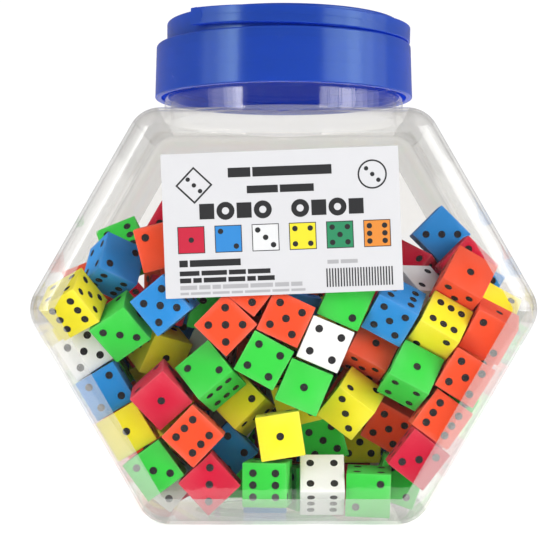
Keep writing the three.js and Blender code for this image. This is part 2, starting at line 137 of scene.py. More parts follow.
class LidSizes(bpy.types.PropertyGroup):
    """Sizes of the lid and its handle"""

    skirt_gap: length("Skirt gap", "From the body up to the skirt", 8.3 * MM)
    skirt_wall: length("Skirt wall", "Thickness of the skirt", 2.45 * MM)
    skirt_draft: length("Skirt draft", "How much narrower the skirt is at its top", 0.58 * MM)
    skirt_bead: length("Skirt bead", "Rounding of the skirt's lower edge", 0.5 * MM)
    thread_depth: length("Thread depth", "Of the thread inside the skirt", 0.95 * MM)
    thread_clearance: length("Thread clearance", "Between the crests of the threads", 0.2 * MM)
    crown: length("Crown", "Thickness of the ledge round the boss", 1.5 * MM)
    boss_inset: length("Boss inset", "Width of the ledge round the boss", 4.02 * MM)
    boss_height: length("Boss height", "Height of the raised middle", 8.8 * MM)
    boss_wall: length("Boss wall", "Thickness of the raised middle", 1.8 * MM)
    fillet: length("Fillet", "Rounding of the lid's outer edges", 0.8 * MM)
    sink: length("Sink marks", "Depth of the shallow rings opposite the threads", 0.035 * MM)
    handle_angle: FloatProperty(
        name="Handle angle",
        description="Where the handle's middle lies, turned from the front towards the right",
        default=math.radians(49),
        subtype="ANGLE",
    )
    handle_droop: FloatProperty(
        name="Handle droop",
        description="How far below level the folded handle lies",
        default=math.radians(2.3),
        subtype="ANGLE",
    )
    handle_thickness: length("Handle thickness", "Across the strap", 3.2 * MM)
    handle_height: length("Handle height", "Of the strap when it is folded", 6.2 * MM)
    handle_gap: length("Handle gap", "Between the strap and the boss", 0.65 * MM)
    handle_edge: length("Handle edge", "Rounding of the strap's edges", 0.5 * MM)
    hinge_drop: length("Hinge drop", "From the lid's top down to the hinge axis", 3.2 * MM)
    peg_radius: length("Peg radius", "Of the handle's two pegs", 1.5 * MM)
    peg_reach: length("Peg reach", "How far the pegs stand out inwards", 2.7 * MM)
    peg_clearance: length("Peg clearance", "Between a peg and its hole", 0.3 * MM)


class DiceSizes(bpy.types.PropertyGroup):
    """Sizes of the dice"""

    side: length("Side", "Length of a die's edge", 16 * MM)
    edge: length("Edge rounding", "Of a die's edges", 0.35 * MM)
    pip_radius: length("Pip radius", "Of a printed pip", 1.42 * MM)
    pip_sink: length("Pip sink", "How deep a pip is pressed in", 0.12 * MM)
    spread: length("Pip spread", "From the middle of a face to its corner pips", 4.3 * MM)
    bow: length("Bow", "How far a soft face may be hollow", 0.14 * MM)
    heap: IntProperty(name="Heap", description="Dice behind the front ones", default=140, min=0)
    seed: IntProperty(name="Seed", description="Chooses the colours and the fall", default=7)


class Colours(bpy.types.PropertyGroup):
    """Colours of the materials"""

    plastic: tint("Clear plastic", "Tint of the jar", (0.985, 0.98, 0.972))
    lid: tint("Lid", "Colour of the lid and handle", (0.022, 0.070, 0.30))
    paper: tint("Paper", "Colour of the label", (0.5, 0.5, 0.515))
    print_dark: tint("Dark print", "Printed bars and frames", (0.02, 0.02, 0.022))
    print_orange: tint("Printed orange", "Orange die on the label", (0.80, 0.27, 0.03))
    print_green: tint("Printed green", "Green die on the label", (0.02, 0.28, 0.12))
    print_grey: tint("Grey print", "Small printed lines", (0.32, 0.32, 0.33))
    green: tint("Green foam", "Colour of the green dice", (0.033, 0.58, 0.055))
    orange: tint("Orange foam", "Colour of the orange dice", (0.80, 0.070, 0.018))
    blue: tint("Blue foam", "Colour of the blue dice", (0.02, 0.25, 0.66))
    yellow: tint("Yellow foam", "Colour of the yellow dice", (0.86, 0.76, 0.018))
    white: tint("White foam", "Colour of the white dice", (0.80, 0.805, 0.81))
    magenta: tint("Magenta foam", "Colour of the magenta dice", (0.60, 0.005, 0.04))
    ink: tint("Pips", "Colour of the printed pips", (0.012, 0.011, 0.013))
    film: tint("Liner film", "Colour of the film in the lid", (0.72, 0.73, 0.75))
    board: tint("Liner board", "Colour of the pulp board in the lid", (0.60, 0.53, 0.43))
    floor: tint("Floor", "Colour of the stage", (0.86, 0.86, 0.86))


class StageSizes(bpy.types.PropertyGroup):
    """The camera and the lights"""

    camera_distance: length("Camera distance", "From the jar's middle to the camera", 0.6)
    camera_height: length("Camera height", "Above the floor", 0.078)
    lens: FloatProperty(name="Lens", description="Focal length in millimetres", default=101.7)
    shift_x: FloatProperty(name="Shift across", description="Sideways lens shift", default=-0.0158)
    shift_y: FloatProperty(name="Shift up", description="Upward lens shift", default=0.058)
    sky: FloatProperty(name="Sky", description="Strength of the even white light", default=0.54)
    softbox: FloatProperty(name="Softboxes", description="Power of a side light", default=10.0, unit="POWER")


GROUPS = {
    "dice_jar_body": JarSizes,
    "dice_jar_lid": LidSizes,
    "dice_jar_dice": DiceSizes,
    "dice_jar_colours": Colours,
    "dice_jar_stage": StageSizes,
}


# ---- Materials ----


class Value:
    """A socket that takes part in arithmetic. Each operation adds its Math node."""

    def __init__(self, tree, socket):
        self.tree = tree
        self.socket = socket

    def math(self, operation, first, second):
        made = self.tree.nodes.new("ShaderNodeMath")
        made.operation = operation
        for place, value in enumerate((first, second)):
            if isinstance(value, Value):
                self.tree.links.new(value.socket, made.inputs[place])
            else:
                made.inputs[place].default_value = value
        return Value(self.tree, made.outputs[0])

    def __add__(self, other):
        return self.math("ADD", self, other)

    def __radd__(self, other):
        return self.math("ADD", other, self)

    def __sub__(self, other):
        return self.math("SUBTRACT", self, other)

    def __rsub__(self, other):
        return self.math("SUBTRACT", other, self)

    def __mul__(self, other):
        return self.math("MULTIPLY", self, other)

    def __rmul__(self, other):
        return self.math("MULTIPLY", other, self)

    def __pow__(self, other):
        return self.math("POWER", self, other)


class Finish:
    """A material that is being put together from nodes."""

    def __init__(self, name):
        self.material = bpy.data.materials.new(f"looks_{name}")
        self.material.use_nodes = True
        self.tree = self.material.node_tree
        self.tree.nodes.clear()

    def node(self, kind, settings=None, sockets=None):
        made = self.tree.nodes.new(kind)
        for name, value in (settings or {}).items():
            if name == "stops":
                ramp = made.color_ramp.elements
                while len(ramp) < len(value):
                    ramp.new(1.0)
                for element, (place, level) in zip(ramp, value):
                    element.position = place
                    element.color = (level, level, level, 1)
            else:
                setattr(made, name, value)
        for name, value in (sockets or {}).items():
            if isinstance(value, Value):
                self.tree.links.new(value.socket, made.inputs[name])
            elif isinstance(value, bpy.types.NodeSocket):
                self.tree.links.new(value, made.inputs[name])
            else:
                made.inputs[name].default_value = value
        return made

    def value(self, socket):
        return Value(self.tree, socket)

    def place(self):
        return self.node("ShaderNodeTexCoord").outputs["Object"]

    def noise(self, scale, detail, roughness=0.5):
        made = self.node(
            "ShaderNodeTexNoise",
            {},
            {
                "Vector": self.place(),
                "Scale": scale,
                "Detail": detail,
                "Roughness": roughness,
            },
        )
        return self.value(made.outputs["Fac"])

    def attribute(self, name):
        made = self.node("ShaderNodeAttribute", {"attribute_name": name})
        return self.value(made.outputs["Fac"])

    def ramp(self, value, *stops):
        made = self.node("ShaderNodeValToRGB", {"stops": stops}, {"Fac": value})
        return self.value(made.outputs["Color"])

    def mix(self, factor, first, second):
        made = self.node(
            "ShaderNodeMix",
            {"data_type": "RGBA"},
            {0: factor, 6: first, 7: second},
        )
        return made.outputs[2]

    def bump(self, height, strength, distance):
        made = self.node(
            "ShaderNodeBump",
            {},
            {"Height": height, "Strength": strength, "Distance": distance},
        )
        return made.outputs["Normal"]

    def principled(self, sockets):
        return self.node("ShaderNodeBsdfPrincipled", {}, sockets).outputs[0]

    def mix_shader(self, factor, first, second):
        return self.node("ShaderNodeMixShader", {}, {0: factor, 1: first, 2: second}).outputs[0]

    def done(self, shader):
        self.node("ShaderNodeOutputMaterial", {}, {"Surface": shader})
        return self.material


def opaque(colour, share=1.0):
    """A colour with its alpha, made lighter or darker by a share."""
    return tuple(min(1.0, channel * share) for channel in colour) + (1.0,)


def foam_finish(name, colour):
    """Closed-cell foam: fine cells, cloudy colour, and edges that have rubbed a little paler."""
    made = Finish(name)
    cloud = made.noise(70, 3)
    cells = made.node("ShaderNodeTexVoronoi", {}, {"Vector": made.place(), "Scale": 2600.0})
    cell = made.value(cells.outputs["Distance"])
    grain = made.noise(900, 3, 0.7)
    worn = made.attribute("wear")
    body = made.mix(made.ramp(cloud, (0.3, 0), (0.7, 1)), opaque(colour, 0.93), opaque(colour, 1.05))
    speckled = made.mix(made.ramp(grain, (0.55, 0), (0.75, 0.35)), body, opaque(colour, 0.8))
    pale = tuple(0.75 * channel + 0.18 for channel in colour)
    rubbed = made.mix(worn * made.ramp(cloud, (0.35, 0.1), (0.65, 0.5)), speckled, opaque(pale))
    height = cell * 0.6 + grain * 0.8
    return made.done(
        made.principled(
            {
                "Base Color": rubbed,
                "Roughness": 0.78 + grain * 0.16,
                "Specular IOR Level": 0.28,
                "Sheen Weight": 0.06,
                "Normal": made.bump(height, 0.35, 0.00006),
            }
        )
    )


def ink_finish(colour):
    """Matt black ink pressed into the foam."""
    made = Finish("pip_ink")
    grain = made.noise(1400, 2)
    return made.done(
        made.principled(
            {
                "Base Color": made.mix(grain, opaque(colour), opaque(colour, 2.2)),
                "Roughness": 0.55 + grain * 0.2,
                "Specular IOR Level": 0.3,
                "Normal": made.bump(grain, 0.3, 0.00004),
            }
        )
    )


def plastic_finish(colour):
    """Clear blow-moulded plastic: what is behind shows through, and it shines more at a slant. Its pale layer
    is partly painted light: a painted reflection on the rounded edges and corners, and painted shade along
    the outline.
    """
    made = Finish("clear_plastic")
    ripple = made.noise(28, 2)
    fine = made.noise(160, 2)
    normal = made.bump(ripple + fine * 0.12, 0.25, 0.0009)
    slant = made.node("ShaderNodeLayerWeight", {}, {"Blend": 0.5, "Normal": normal})
    facing = made.value(slant.outputs["Facing"])
    clear = made.node("ShaderNodeBsdfTransparent", {}, {"Color": opaque(colour)}).outputs[0]
    shine = made.node(
        "ShaderNodeBsdfGlossy",
        {},
        {"Color": (1, 1, 1, 1), "Roughness": 0.035, "Normal": normal},
    ).outputs[0]
    # Painted shade: towards the outline the pale layer turns dark grey. It stands in for the dark edges that
    # refraction would give.
    rim = made.ramp(facing, (0.35, 0), (0.9, 1))
    haze_with_painted_edges = made.principled(
        {
            "Base Color": made.mix(rim, (0.5, 0.5, 0.49, 1), (0.12, 0.12, 0.125, 1)),
            "Roughness": 0.4,
            "Normal": normal,
        }
    )
    # Painted reflection: the rounded edges and corners get a pale layer that stands in for the studio's
    # reflection in them. At a slant the layer is partly the plastic's own cloudiness and partly painted shade
    # along the outline.
    rounded = made.attribute("rounded")
    slanted = made.ramp(facing, (0.45, 0), (0.8, 0.09), (1, 0.55))
    haze_and_painted_reflection = 0.004 + rounded * 0.22 + slanted * (0.25 + rounded * 0.75)
    gloss = 0.03 + 0.5 * facing**4
    return made.done(made.mix_shader(gloss, made.mix_shader(haze_and_painted_reflection, clear, haze_with_painted_edges), shine))


def lid_finish(colour):
    """Semi-gloss moulded plastic with faint flow marks and fine scuffs."""
    made = Finish("lid_plastic")
    flow = made.noise(22, 3)
    peel = made.noise(420, 2)
    scuff = made.ramp(made.noise(150, 5, 0.75), (0.6, 0), (0.72, 1))
    base = made.mix(flow, opaque(colour, 0.94), opaque(colour, 1.06))
    normal = made.bump(peel + scuff * -0.3, 0.12, 0.00005)
    outside = made.principled(
        {
            "Base Color": made.mix(scuff * 0.1, base, opaque((0.2, 0.28, 0.55))),
            "Roughness": 0.15 + flow * 0.06 + scuff * 0.1,
            "Specular IOR Level": 0.62,
            "Specular Tint": (0.6, 0.9, 1.0, 1.0),
            "Normal": normal,
        }
    )
    through = made.node("ShaderNodeBsdfTranslucent", {}, {"Color": opaque(colour, 3.2), "Normal": normal})
    return made.done(made.mix_shader(0.5, outside, through.outputs[0]))


def paper_finish(name, colour, gloss):
    """Coated paper, or ink printed on it, with the paper's faint fibres."""
    made = Finish(name)
    fibre = made.noise(1500, 4, 0.65)
    cloud = made.noise(45, 3)
    base = made.mix(cloud, opaque(colour, 0.965), opaque(colour, 1.02))
    return made.done(
        made.principled(
            {
                "Base Color": made.mix(fibre * 0.12, base, opaque(colour, 0.8)),
                "Roughness": gloss + fibre * 0.12,
                "Normal": made.bump(fibre, 0.18, 0.00003),
            }
        )
    )


def pulp_finish(name, colour, roughness):
    """Pressed pulp board or satin film, with its fibres."""
    made = Finish(name)
    fibre = made.noise(700, 5, 0.7)
    return made.done(
        made.principled(
            {
                "Base Color": made.mix(fibre, opaque(colour, 0.88), opaque(colour, 1.08)),
                "Roughness": roughness + fibre * 0.1,
                "Normal": made.bump(fibre, 0.4, 0.00005),
            }
        )
    )


def floor_finish(colour):
    """Plain pale paper sweep."""
    made = Finish("stage_paper")
    cloud = made.noise(3, 2)
    return made.done(
        made.principled(
            {
                "Base Color": made.mix(cloud, opaque(colour, 0.99), opaque(colour, 1.01)),
                "Roughness": 0.85,
                "Specular IOR Level": 0.15,
                "Emission Color": (1, 1, 1, 1),
                "Emission Strength": 0.5,
            }
        )
    )


def glow_finish():
    """A white sheet lit from behind."""
    made = Finish("stage_glow")
    cloud = made.noise(2, 1)
    lit = made.mix(cloud, (1, 1, 1, 1), (0.985, 0.985, 0.985, 1))
    return made.done(
        made.principled(
            {
                "Base Color": (0, 0, 0, 1),
                "Roughness": 1.0,
                "Specular IOR Level": 0.0,
                "Emission Color": lit,
                "Emission Strength": 1.05,
            }
        )
    )


def black_finish():
    """Dead black cloth for the flags that only the shiny surfaces see."""
    made = Finish("stage_black")
    weave = made.noise(900, 2)
    return made.done(
        made.principled(
            {
                "Base Color": made.mix(weave, (0.004, 0.004, 0.005, 1), (0.008, 0.008, 0.009, 1)),
                "Roughness": 1.0,
                "Specular IOR Level": 0.0,
            }
        )
    )


finishes = {}


def finish(name):
    """A material by name, made when it is first asked for."""
    if name not in finishes:
        finishes[name] = made_finish(name)
    return finishes[name]


def made_finish(name):
    colours = bpy.context.scene.dice_jar_colours
    if name.endswith("_foam"):
        return foam_finish(name, getattr(colours, name[: -len("_foam")]))
    if name.endswith("_print"):
        printed = {"orange": colours.print_orange, "green": colours.print_green}
        colour = name[: -len("_print")]
        ink = printed.get(colour) or getattr(colours, colour)
        ink_on_paper = [0.72 * channel for channel in ink]
        return paper_finish(name, ink_on_paper, 0.42)
    makers = {
        "pip_ink": lambda: ink_finish(colours.ink),
        "clear_plastic": lambda: plastic_finish(colours.plastic),
        "lid_plastic": lambda: lid_finish(colours.lid),
        "label_paper": lambda: paper_finish("label_paper", colours.paper, 0.5),
        "dark_ink": lambda: paper_finish("dark_ink", colours.print_dark, 0.38),
        "grey_ink": lambda: paper_finish("grey_ink", colours.print_grey, 0.42),
        "liner_film": lambda: pulp_finish("liner_film", colours.film, 0.35),
        "liner_board": lambda: pulp_finish("liner_board", colours.board, 0.85),
        "stage_paper": lambda: floor_finish(colours.floor),
        "stage_black": black_finish,
        "stage_glow": glow_finish,
    }
    return makers[name]()


# ---- Mesh helpers ----


def new_object(name, mesh):
    made = bpy.data.objects.new(name, mesh)
    bpy.context.scene.collection.objects.link(made)
    return made


def object_of(name, shape, smooth_angle=None):
    """An object from a bmesh, which is used up."""
    mesh = bpy.data.meshes.new(name)
    shape.to_mesh(mesh)
    shape.free()
    if smooth_angle is not None:
        mesh.shade_smooth()
        mesh.set_sharp_from_angle(angle=math.radians(smooth_angle))
    return new_object(name, mesh)


def box_points(x, z, width, height):
    return [
        (x - width / 2, z - height / 2),
        (x + width / 2, z - height / 2),
        (x + width / 2, z + height / 2),
        (x - width / 2, z + height / 2),
    ]


def disc_points(x, z, radius, count=20):
    angles = [math.tau * k / count for k in range(count)]
    return [(x + radius * math.cos(angle), z + radius * math.sin(angle)) for angle in angles]


def arc(centre, radius, start, end, steps):
    """Points on an arc in a plane, from one angle to another, both in degrees."""
    points = []
    for i in range(steps + 1):
        angle = math.radians(start + (end - start) * i / steps)
        points.append((centre[0] + radius * math.cos(angle), centre[1] + radius * math.sin(angle)))
    return points


def lathed(profile, segments):
    """A solid of revolution about Z, from a profile that comes back to its first point."""
    shape = bmesh.new()
    rings = []
    for radius, z in profile:
        on_axis = radius < 1e-7
        round_it = [(0, 0)] if on_axis else disc_points(0, 0, radius, segments)
        rings.append([shape.verts.new((x, y, z)) for x, y in round_it])
    for low, high in zip(rings, rings[1:] + rings[:1]):
        if len(low) == 1 and len(high) == 1:
            continue
        for k in range(segments):
            after = (k + 1) % segments
            if len(low) == 1:
                shape.faces.new((low[0], high[after], high[k]))
            elif len(high) == 1:
                shape.faces.new((low[k], low[after], high[0]))
            else:
                shape.faces.new((low[k], low[after], high[after], high[k]))
    bmesh.ops.recalc_face_normals(shape, faces=shape.faces)
    return shape


def skinned(rings):
    """A closed solid through a row of rings that all have the same number of points."""
    shape = bmesh.new()
    made = [[shape.verts.new(point) for point in ring] for ring in rings]
    count = len(rings[0])
    for low, high in zip(made, made[1:]):
        for k in range(count):
            after = (k + 1) % count
            shape.faces.new((low[k], low[after], high[after], high[k]))
    shape.faces.new(list(reversed(made[0])))
    shape.faces.new(made[-1])
    bmesh.ops.recalc_face_normals(shape, faces=shape.faces)
    return shape


def combine(target, tool, operation):
    """Cuts or joins tool with target in place, and removes tool."""
    modifier = target.modifiers.new("combine", "BOOLEAN")
    modifier.operation = operation
    modifier.solver = "EXACT"
    modifier.object = tool
    graph = bpy.context.evaluated_depsgraph_get()
    mesh = bpy.data.meshes.new_from_object(target.evaluated_get(graph))
    target.modifiers.clear()
    target.data = mesh
    bpy.data.objects.remove(tool)


def settle_normals(target, angle):
    """Smooth shading with flat faces that stay flat."""
    target.data.shade_smooth()
    target.data.set_sharp_from_angle(angle=math.radians(angle))
    modifier = target.modifiers.new("even_shading", "WEIGHTED_NORMAL")
    modifier.keep_sharp = True
    modifier.weight = 60


def heading(angle):
    """The direction at an angle turned from the front towards the right."""
    return Vector((math.sin(angle), -math.cos(angle), 0))


def bar(start, end, radius, segments=32):
    """A round bar between two points."""
    along = (end - start).normalized()
    across = along.orthogonal().normalized()
    other = along.cross(across)
    disc = disc_points(0, 0, radius, segments)
    return skinned([[middle + across * a + other * b for a, b in disc] for middle in (start, end)])


def helix(root, crest, start, pitch, turns):
    """A thread ridge that fades into its wall at both ends."""
    steps_per_turn = 96
    fade = 14
    end_share = 0.12
    steps = round(steps_per_turn * turns)
    rings = []
    for i in range(steps + 1):
        rise = min(1.0, i / fade, (steps - i) / fade)
        share = end_share + (1 - end_share) * rise
        angle = math.tau * i / steps_per_turn
        z = start + pitch * i / steps_per_turn
        top = root + (crest - root) * share
        section = (
            (root, -RIDGE_ROOT / 2),
            (top, -RIDGE_CREST / 2),
            (top, RIDGE_CREST / 2),
            (root, RIDGE_ROOT / 2),
        )
        rings.append([Vector((r * math.cos(angle), r * math.sin(angle), z + dz)) for r, dz in section])
    return skinned(rings)


# ---- Jar ----


def outline_of(jar, grown=0.0):
    """The body's six corners seen from the front, moved outwards by a distance."""
    corners = [
        (-jar.base_width / 2, 0.0),
        (jar.base_width / 2, 0.0),
        (jar.waist_width / 2, jar.waist_height),
        (jar.shoulder_width / 2, jar.height),
        (-jar.shoulder_width / 2, jar.height),
        (-jar.waist_width / 2, jar.waist_height),
    ]
    points = [Vector(corner) for corner in corners]
    moved = []
    for i, corner in enumerate(points):
        before = (corner - points[i - 1]).normalized()
        after = (points[(i + 1) % len(points)] - corner).normalized()
        out_before = Vector((before.y, -before.x))
        out_after = Vector((after.y, -after.x))
        share = grown / (1 + out_before.dot(out_after))
        moved.append(corner + (out_before + out_after) * share)
    return moved


def body_ring(jar, inset, y, steps):
    """The rounded outline of the body, moved inwards, at one distance from front to back."""
    centres = outline_of(jar, -jar.corner_radius)
    corners = outline_of(jar)
    radius = jar.corner_radius - inset
    ring = []
    for i, centre in enumerate(centres):
        before = corners[i] - corners[i - 1]
        after = corners[(i + 1) % len(corners)] - corners[i]
        start = math.atan2(-before.x, before.y)
        turn = abs(before.angle_signed(after))
        for k in range(steps + 1):
            angle = start + turn * k / steps
            ring.append(Vector((centre.x + radius * math.cos(angle), y, centre.y + radius * math.sin(angle))))
    return ring


def body_shape(jar, inset, corner_steps=12, edge_steps=10):
    """The body's closed solid, moved inwards by a distance on every side."""
    round_radius = jar.edge_radius - inset
    half = jar.depth / 2 - inset
    front_half = []
    for k in range(edge_steps + 1):
        angle = math.pi / 2 * k / edge_steps
        drawn_in = inset + round_radius * (1 - math.sin(angle))
        front_half.append((drawn_in, half - round_radius * (1 - math.cos(angle))))
    rings = [body_ring(jar, drawn_in, -y, corner_steps) for drawn_in, y in front_half]
    rings += [body_ring(jar, drawn_in, y, corner_steps) for drawn_in, y in reversed(front_half)]
    return skinned(rings)


def dome_shape(jar, grown):
    """The flattened ball that pushes the base up, larger by a distance for the inside."""
    shape = bmesh.new()
    bmesh.ops.create_uvsphere(shape, u_segments=96, v_segments=32, radius=1)
    size = (jar.push_up_width + grown, jar.push_up_depth + grown, jar.push_up_rise + grown)
    bmesh.ops.scale(shape, vec=size, verts=shape.verts)
    return shape


def build_jar(jar):
    """The clear jar: body, flared collar, threaded neck and hollow."""
    segments = 144
    bore = jar.neck_radius - jar.neck_wall
    collar = jar.neck_radius + jar.thread_depth
    foot = jar.height - jar.edge_radius + jar.wall
    collar_top = jar.height + jar.collar_height
    rim = jar.height + jar.neck_height
    flare = jar.collar_flare
    outer = [
        (0, foot),
        (collar + flare, foot),
        (collar + flare, jar.height - 1.6 * flare),
        (collar + 0.45 * flare, jar.height - 0.6 * flare),
        (collar + 0.12 * flare, jar.height + 0.5 * flare),
        (collar, jar.height + 1.6 * flare),
    ]
    outer += arc((collar - jar.thread_depth, collar_top - jar.thread_depth), jar.thread_depth, 0, 90, 6)
    outer += [(jar.neck_radius, collar_top + 0.2 * MM)]
    outer += arc((jar.neck_radius - jar.rim_radius, rim - jar.rim_radius), jar.rim_radius, 0, 90, 5)
    outer += [(0, rim)]
    inner = [(0, foot - jar.wall), (bore, foot - jar.wall)]
    inner += [(bore, rim - jar.rim_radius)]
    inner += arc((bore + jar.rim_radius, rim - jar.rim_radius), jar.rim_radius, 180, 90, 5)
    inner += [(bore + jar.rim_radius, rim + 1 * MM), (0, rim + 1 * MM)]

    made = object_of("jar_shell", body_shape(jar, 0))
    combine(made, object_of("dome", dome_shape(jar, 0)), "DIFFERENCE")
    combine(made, object_of("neck", lathed(outer, segments)), "UNION")
    ridge = helix(
        jar.neck_radius - RIDGE_SET_IN,
        collar,
        collar_top + jar.thread_run,
        jar.thread_pitch,
        jar.thread_turns,
    )
    combine(made, object_of("ridge", ridge), "UNION")
    hollow = object_of("hollow", body_shape(jar, jar.wall))
    combine(hollow, object_of("dome_inside", dome_shape(jar, jar.wall)), "DIFFERENCE")
    combine(hollow, object_of("bore", lathed(inner, segments)), "UNION")
    combine(made, hollow, "DIFFERENCE")
    settle_normals(made, 32)
    mark_rounded(made, jar)
    return made


def mark_rounded(made, jar):
    """Marks the body's rounded edges and corners, where the clear plastic gets a pale painted reflection."""
    corners = outline_of(jar)
    flat_within = 0.9985
    walls = [Vector((0, 1, 0)), Vector((0, -1, 0))]
    for i, corner in enumerate(corners):
        along = (corner - corners[i - 1]).normalized()
        walls.append(Vector((along.y, 0, -along.x)))
        walls.append(-walls[-1])
    marks = made.data.attributes.new("rounded", "FLOAT", "FACE")
    for i, face in enumerate(made.data.polygons):
        flat = max(face.normal.dot(wall) for wall in walls) > flat_within
        in_neck = face.center.z > jar.height
        marks.data[i].value = 0.0 if flat or in_neck else 1.0


# ---- Label ----

SHEET, DARK, GREY, FIRST_COLOUR = range(4)


def pip_pattern(number):
    """Where the pips of a face lie, in steps of the pip spread, with a six in upright columns."""
    corners = [(-1, -1), (1, 1), (-1, 1), (1, -1)]
    patterns = {
        1: [(0, 0)],
        2: corners[:2],
        3: [(0, 0)] + corners[:2],
        4: corners,
        5: corners + [(0, 0)],
        6: corners + [(-1, 0), (1, 0)],
    }
    return patterns[number]


def glyphs(kind, marks, x, z, height, step):
    """A centred row of plain blocks and rings that stands for a line of large print."""
    shapes = []
    left = x - step * (len(marks) - 1) / 2
    for i, mark in enumerate(marks):
        if mark == "block":
            shapes.append((kind, box_points(left + i * step, z, step * 0.8, height * 0.86)))
        if mark == "ring":
            shapes.append((kind, disc_points(left + i * step, z, height * 0.5, 24)))
            shapes.append((SHEET, disc_points(left + i * step, z, height * 0.2, 14)))
    return shapes


def printed_shapes():
    """The label's print in millimetres from its middle, lowest first: finish and outline."""
    shapes = []
    icon, step, row = 9.6, 13.15, -5.1
    for i, colour in enumerate(("magenta", "blue", "white", "yellow", "green", "orange")):
        x = (i - 2.5) * step + 0.6
        shapes.append((DARK, box_points(x, row, icon, icon)))
        kind = FIRST_COLOUR + FOAM_COLOURS.index(colour)
        shapes.append((kind, box_points(x, row, icon - 0.6, icon - 0.6)))
        for across, up in pip_pattern(i + 1):
            shapes.append((DARK, disc_points(x + across * 2.7, row - up * 2.7, 0.98)))
    title = ["block", "ring", "block", "ring", "", "ring", "block", "ring", "block"]
    shapes += glyphs(DARK, title, 0, 4.8, 6.4, 6.6)
    # Rows of bars: finish, left end, middle height, height of the bars and their widths.
    lines = (
        (DARK, -18.5, 18.2, 3.4, (8, 28)),
        (DARK, -12, 12.0, 2.7, (11, 12)),
        (DARK, -36.8, -13.4, 2.4, (3, 18)),
        (DARK, -36.8, -16.9, 1.7, (7, 9, 6, 8)),
        (DARK, -36.8, -19.4, 1.7, (4, 3, 8, 6, 3, 6)),
        (GREY, -36.8, -21.9, 1.5, (6, 4, 3, 9, 8, 5, 4)),
        (GREY, -36.8, -24.0, 0.9, (3, 7, 6, 4, 9, 6, 5)),
        (GREY, 15.5, -14.6, 1.4, (4, 6)),
    )
    for kind, left, z, height, words in lines:
        for width in words:
            shapes.append((kind, box_points(left + width / 2, z, width, height)))
            left += width + 0.7
    stripes = 24
    for i in range(stripes):
        shapes.append((DARK, box_points(15.2 + i, -20.2, 0.5, 6.6)))
    # A circle on the right and a diamond on the left, each a dark line with three pips inside.
    signs = ((32.5, 15.8, 5.2, 4.6, 36), (-30.6, 14.2, 6.6, 5.7, 4))
    for x, z, outside, inside, sides in signs:
        shapes.append((DARK, disc_points(x, z, outside, sides)))
        shapes.append((SHEET, disc_points(x, z, inside, sides)))
        for across, up in pip_pattern(3):
            shapes.append((DARK, disc_points(x + across * 2.1, z - up * 2.1, 0.8)))
    return shapes


def sheet_axes(corners):
    """The middle of a tilted sheet and the directions along its width and its height."""
    middle = sum(corners, Vector()) / len(corners)
    spans = [corner - corners[0] for corner in corners]
    widths = [span for span in spans if span.length > 60 * MM and abs(span.x) > abs(span.z) * 4]
    across = min(widths, key=lambda span: span.length).normalized()
    if across.x < 0:
        across.negate()
    return middle, across, Vector((-across.z, 0, across.x))


def build_label():
    """The paper label: one thin sheet whose front is divided into paper and print."""
    low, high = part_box("front_label")
    corners = [Vector(vert.co) for vert in frame["nodes"]["front_label"].data.vertices]
    middle, across, up = sheet_axes(corners)
    corner_round = 0.3
    half_width, half_height = (
        max((corner - middle).dot(axis) for corner in corners) / MM - corner_round
        for axis in (across, up)
    )
    border = []
    for quarter, (sx, sz) in enumerate(((1, 1), (-1, 1), (-1, -1), (1, -1))):
        start = 90 * quarter
        border += arc((half_width * sx, half_height * sz), corner_round, start, start + 90, 3)
    shapes = [(SHEET, border)] + printed_shapes()
    points = []
    outlines = []
    for _, outline in shapes:
        outlines.append([len(points) + i for i in range(len(outline))])
        points += [Vector(point) for point in outline]
    flat, _, faces, _, _, inside = delaunay_2d_cdt(points, [], outlines, 1, 1e-5)
    shape = bmesh.new()
    verts = []
    for x, z in flat:
        at = middle + across * (x * MM) + up * (z * MM)
        verts.append(shape.verts.new((at.x, low.y, at.z)))
    for face, owners in zip(faces, inside):
        if not owners:
            continue
        made = shape.faces.new([verts[i] for i in face])
        made.material_index = shapes[max(owners)][0]
    bmesh.ops.recalc_face_normals(shape, faces=shape.faces)
    rim = [edge for edge in shape.edges if edge.is_boundary]
    grown = bmesh.ops.extrude_edge_only(shape, edges=rim)
    for part in grown["geom"]:
        if isinstance(part, bmesh.types.BMVert):
            part.co.y = high.y
    back_edges = [part for part in grown["geom"] if isinstance(part, bmesh.types.BMEdge) and part.is_boundary]
    bmesh.ops.contextual_create(shape, geom=back_edges)
    bmesh.ops.recalc_face_normals(shape, faces=shape.faces)
    made = object_of("paper_label", shape)
    for name in ("label_paper", "dark_ink", "grey_ink"):
        made.data.materials.append(finish(name))
    for colour in FOAM_COLOURS:
        made.data.materials.append(finish(f"{colour}_print"))
    return made


# ---- Lid ----


def lid_heights(jar, lid):
    """The heights and radii that the lid's pieces share, from the CAD boxes and the sizes."""
    collar = jar.neck_radius + jar.thread_depth
    crest = collar + lid.thread_clearance
    inner = crest + lid.thread_depth
    outer = inner + lid.skirt_wall
    top_radius = outer - lid.skirt_draft
    boss = top_radius - lid.boss_inset
    liner_gap = 0.3 * MM
    crown_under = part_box("liner_board")[1].z + liner_gap
    skirt_top = crown_under + lid.crown
    boss_top = skirt_top + lid.boss_height
    return {
        "crest": crest,
        "inner": inner,
        "outer": outer,
        "top_radius": top_radius,
        "boss": boss,
        "bottom": jar.height + lid.skirt_gap,
        "crown_under": crown_under,
        "skirt_top": skirt_top,
        "boss_top": boss_top,
        "hinge": boss_top - lid.hinge_drop,
    }


